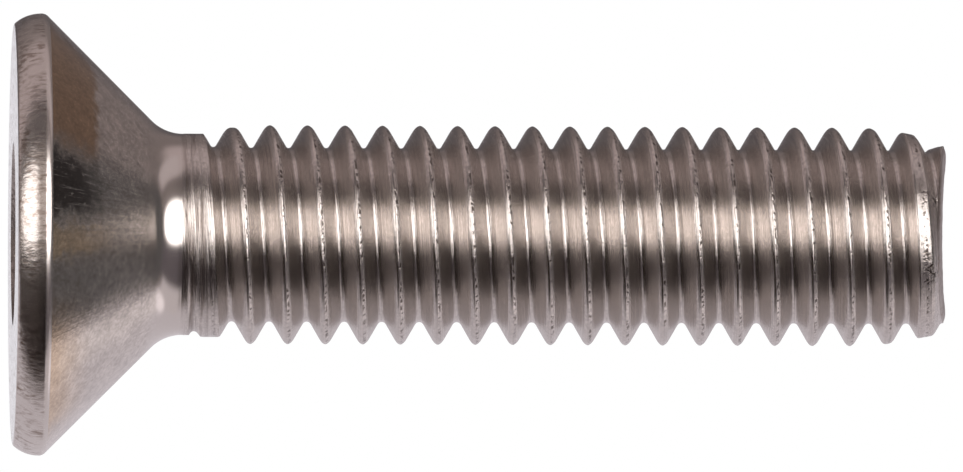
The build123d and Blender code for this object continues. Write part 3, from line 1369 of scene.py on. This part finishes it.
@dataclass
class Surround:
    """A round tent of soft panels, which only the metal's reflections see."""

    radius: float = 600.0
    centre_height: float = 12.0
    columns: int = 240
    rows: int = 120
    panels: tuple[Panel, ...] = (
        # the tent's own cloth
        Panel((0.25, 0.21, 0.205)),
        # dark cloth on the camera's side, towards +X
        Panel((0.15, 0.13, 0.142), (-76.0, -4.0), (0.0, 70.0), 12.0, 8.0),
        Panel((0.01, 0.0065, 0.005), (-81.0, -4.0), (-90.0, 14.0), 10.0, 14.0),
        Panel((0.048, 0.038, 0.035), (-81.0, -4.0), (-90.0, -14.0), 10.0, 6.0),
        # white boards on the +X side, brighter towards the tip
        Panel((0.72, 0.67, 0.71), (-180.0, -92.0), (-90.0, 59.0), 12.0, 3.0),
        Panel((0.72, 0.66, 0.68), (-106.0, -67.0), (13.0, 56.0), 8.0, 4.0),
        Panel((0.9, 0.83, 0.84), (-150.0, -104.0), (46.0, 59.0), 12.0, 3.0),
        Panel((1.3, 1.2, 1.25), (-122.0, -94.0), (38.0, 57.0), 6.0, corners=2.0),
        # white boards on the -X side, and the dark gaps beside them
        Panel((0.56, 0.47, 0.47), (76.0, 122.0), (-90.0, 35.0), 8.0, 14.0),
        Panel((0.13, 0.112, 0.112), (45.0, 76.0), (-90.0, 12.0), 6.0, 16.0),
        Panel((0.62, 0.54, 0.545), (72.0, 104.0), (13.0, 58.0), 6.0, 6.0),
        Panel((0.13, 0.115, 0.12), (152.0, 177.0), (-90.0, 20.0), 8.0, 12.0),
        # a thin white strip right behind the screw
        Panel((1.05, 1.05, 1.12), (176.0, 184.0), (-30.0, 6.0), 3.0),
        # lit cloth and a white card beside the camera, then a lamp towards the head and one towards the tip
        Panel((0.5, 0.43, 0.39), (-5.0, 39.0), (-90.0, 2.0), 6.0),
        Panel((1.05, 0.93, 0.88), (-6.0, 34.0), (-2.0, 14.0), 8.0, 4.0),
        Panel((3.0, 2.85, 2.8), (-5.0, 38.0), (-66.0, -24.0), 6.0, 6.0),
        Panel((4.4, 4.2, 4.14), (-11.5, 41.0), (5.5, 58.0), 5.0, corners=2.7),
        # the tent's crown, over the tip
        Panel((0.112, 0.106, 0.107), rises=(63.0, 90.0), rise_softness=4.0),
        Panel((0.25, 0.215, 0.195), (-170.0, -10.0), (83.0, 90.0), 10.0, 2.0),
    )

    def build(self) -> bpy.types.Object:
        """Makes the tent: a ball seen from inside, with each panel's colour laid over the ones before it.

        Returns:
            The tent.
        """
        turn = np.linspace(-180.0, 180.0, self.columns, endpoint=False)
        rise = np.linspace(-90.0, 90.0, self.rows + 1)
        turns, rises = np.meshgrid(turn, rise)
        level = np.cos(np.radians(rises))
        side = -self.radius * np.sin(np.radians(turns)) * level
        front = -self.radius * np.cos(np.radians(turns)) * level
        height = self.centre_height + self.radius * np.sin(np.radians(rises))
        points = np.stack([side, front, height], axis=-1) * MM
        light = np.zeros((*turns.shape, 3))
        for panel in self.panels:
            cover = panel.cover(turns, rises)[..., None]
            light = light * (1.0 - cover) + np.array(panel.colour) * cover
        numbers = np.arange(turns.size).reshape(turns.shape)
        ahead = np.roll(numbers, -1, axis=1)
        quads = np.stack([numbers[:-1], numbers[1:], ahead[1:], ahead[:-1]], axis=-1).reshape(-1, 4)
        mesh = bpy.data.meshes.new("surround")
        mesh.from_pydata(points.reshape(-1, 3).tolist(), [], quads.tolist())
        colours = mesh.color_attributes.new("light", "FLOAT_COLOR", "POINT")
        rgba = np.concatenate([light, np.ones((*turns.shape, 1))], axis=-1)
        colours.data.foreach_set("color", rgba.astype(np.float32).ravel())
        tent = linked("surround", mesh)
        material, tree = new_material("surround_light")
        seen = add_node(tree, "Attribute", attribute_name="light").outputs["Color"]
        add_node(tree, "OutputMaterial", add_node(tree, "Emission", seen))
        material.cycles.emission_sampling = "NONE"
        mesh.materials.append(material)
        tent.visible_camera = False
        tent.visible_diffuse = False
        tent.visible_shadow = False
        tent.visible_transmission = False
        return tent


@dataclass
class Floor:
    """The floor that the screw stands on, a board in matt white paint, seen only from above."""

    width: float = 2000.0
    height: float = 0.02
    colour: str = "#EDECEA"

    def build(self) -> bpy.types.Object:
        """Makes the floor, just above the plane of the head's face, so that the face never lies in it.

        Returns:
            The floor.
        """
        half = 0.5 * self.width * MM
        outline = [(-half, -half), (half, -half), (half, half), (-half, half)]
        mesh = bpy.data.meshes.new("floor")
        mesh.from_pydata([(x, y, self.height * MM) for x, y in outline], [], [(0, 1, 2, 3)])
        floor = linked("floor", mesh)
        material, tree = new_material("pale_floor")
        below = add_node(tree, "NewGeometry").outputs["Backfacing"]
        paint = add_node(tree, "BsdfDiffuse", linear(self.colour))
        clear = add_node(tree, "BsdfTransparent")
        add_node(tree, "OutputMaterial", add_node(tree, "MixShader", below, paint, clear))
        mesh.materials.append(material)
        floor.visible_glossy = False
        return floor


@dataclass
class Studio:
    """The camera, the world, the floor and the surround."""

    image_width: int = 963
    pixels_per_mm: float = 37.545
    distance: float = 379.4
    camera_height: float = -9.5
    aim_height: float = 12.473
    aim_side: float = 0.013
    roll: float = 0.23
    sensor_width: float = 36.0
    ambient: float = 0.9

    def camera(self) -> bpy.types.Object:
        """Makes the camera, on the screw's -Y side, with the screw's axis lying along the image's width.

        The lens is as long as the sensor's width times the distance, times the pixels to a millimetre there,
        over the image's width.

        Returns:
            The camera.
        """
        data = bpy.data.cameras.new("camera")
        data.sensor_width = self.sensor_width
        eye = Vector((0.0, -self.distance, self.camera_height))
        aim = Vector((self.aim_side, 0.0, self.aim_height))
        data.lens = self.pixels_per_mm * (aim - eye).length * data.sensor_width / self.image_width
        forward = (aim - eye).normalized()
        lean = math.radians(self.roll)
        up = Vector((-math.cos(lean), 0.0, -math.sin(lean)))
        right = forward.cross(up).normalized()
        up = right.cross(forward)
        turned = Matrix((right, up, -forward)).transposed().to_4x4()
        camera = linked("camera", data)
        camera.matrix_world = Matrix.Translation(eye * MM) @ turned
        bpy.context.scene.camera = camera
        return camera

    def world(self) -> bpy.types.World:
        """Makes the world: white where the camera or a reflection sees it, and a plain level elsewhere.

        Returns:
            The world.
        """
        world = bpy.data.worlds.new("world")
        bpy.context.scene.world = world
        world.use_nodes = True
        tree = world.node_tree
        tree.nodes.clear()
        rays = add_node(tree, "LightPath").outputs
        seen = add_node(tree, "Math", rays["Is Camera Ray"], rays["Is Glossy Ray"], operation="MAXIMUM")
        seen = add_node(tree, "Math", seen, rays["Is Transmission Ray"], operation="MAXIMUM")
        strength = add_node(tree, "MapRange", seen, 0.0, 1.0, self.ambient, 1.0)
        add_node(tree, "OutputWorld", add_node(tree, "Background", linear("#FFFFFF"), strength))
        return world

    def build(self) -> None:
        """Sets up the whole studio."""
        self.camera()
        self.world()
        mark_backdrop(Floor().build(), Surround().build())
        bpy.context.scene.view_settings.view_transform = "Standard"


# ---------------------------------------------------------------- the scene


def placed(piece: bpy.types.Object, materials: list[bpy.types.Material]) -> None:
    """Dresses a piece, attaches it to the root body and hides the screw's imported solid.

    Args:
        piece: the piece.
        materials: its materials, in the order of the finishes.
    """
    for material in materials:
        piece.data.materials.append(material)
    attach(piece, ROOT_BODY)
    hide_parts(SCREW_NODE)


def corners() -> list[list[float]]:
    """The lowest and highest corner of what is shown, as plain lists."""
    return [list(corner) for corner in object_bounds()]


def main() -> None:
    """Builds the studio and the screw, piece by piece, and logs each piece's points and faces."""
    logging.basicConfig(level=logging.INFO, format="%(name)s: %(message)s")
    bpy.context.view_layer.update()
    Studio().build()
    steels = {
        Finish.ROLLED: RolledSteel(),
        Finish.SHEARED: ShearedSteel(),
        Finish.PRESSED: PressedSteel(),
        Finish.DRAWN: DrawnSteel(),
        Finish.FACED: FacedSteel(),
        Finish.PUNCHED: PunchedSteel(),
    }
    finishes = [steels[finish].material() for finish in Finish]
    sizes = Sizes()
    for part in (Head(sizes), Shank(sizes, Thread(sizes))):
        piece = part.build()
        placed(piece, finishes)
        log.info("%s: %d points, %d faces", piece.name, len(piece.data.vertices), len(piece.data.polygons))


if __name__ == "__main__":
    main()
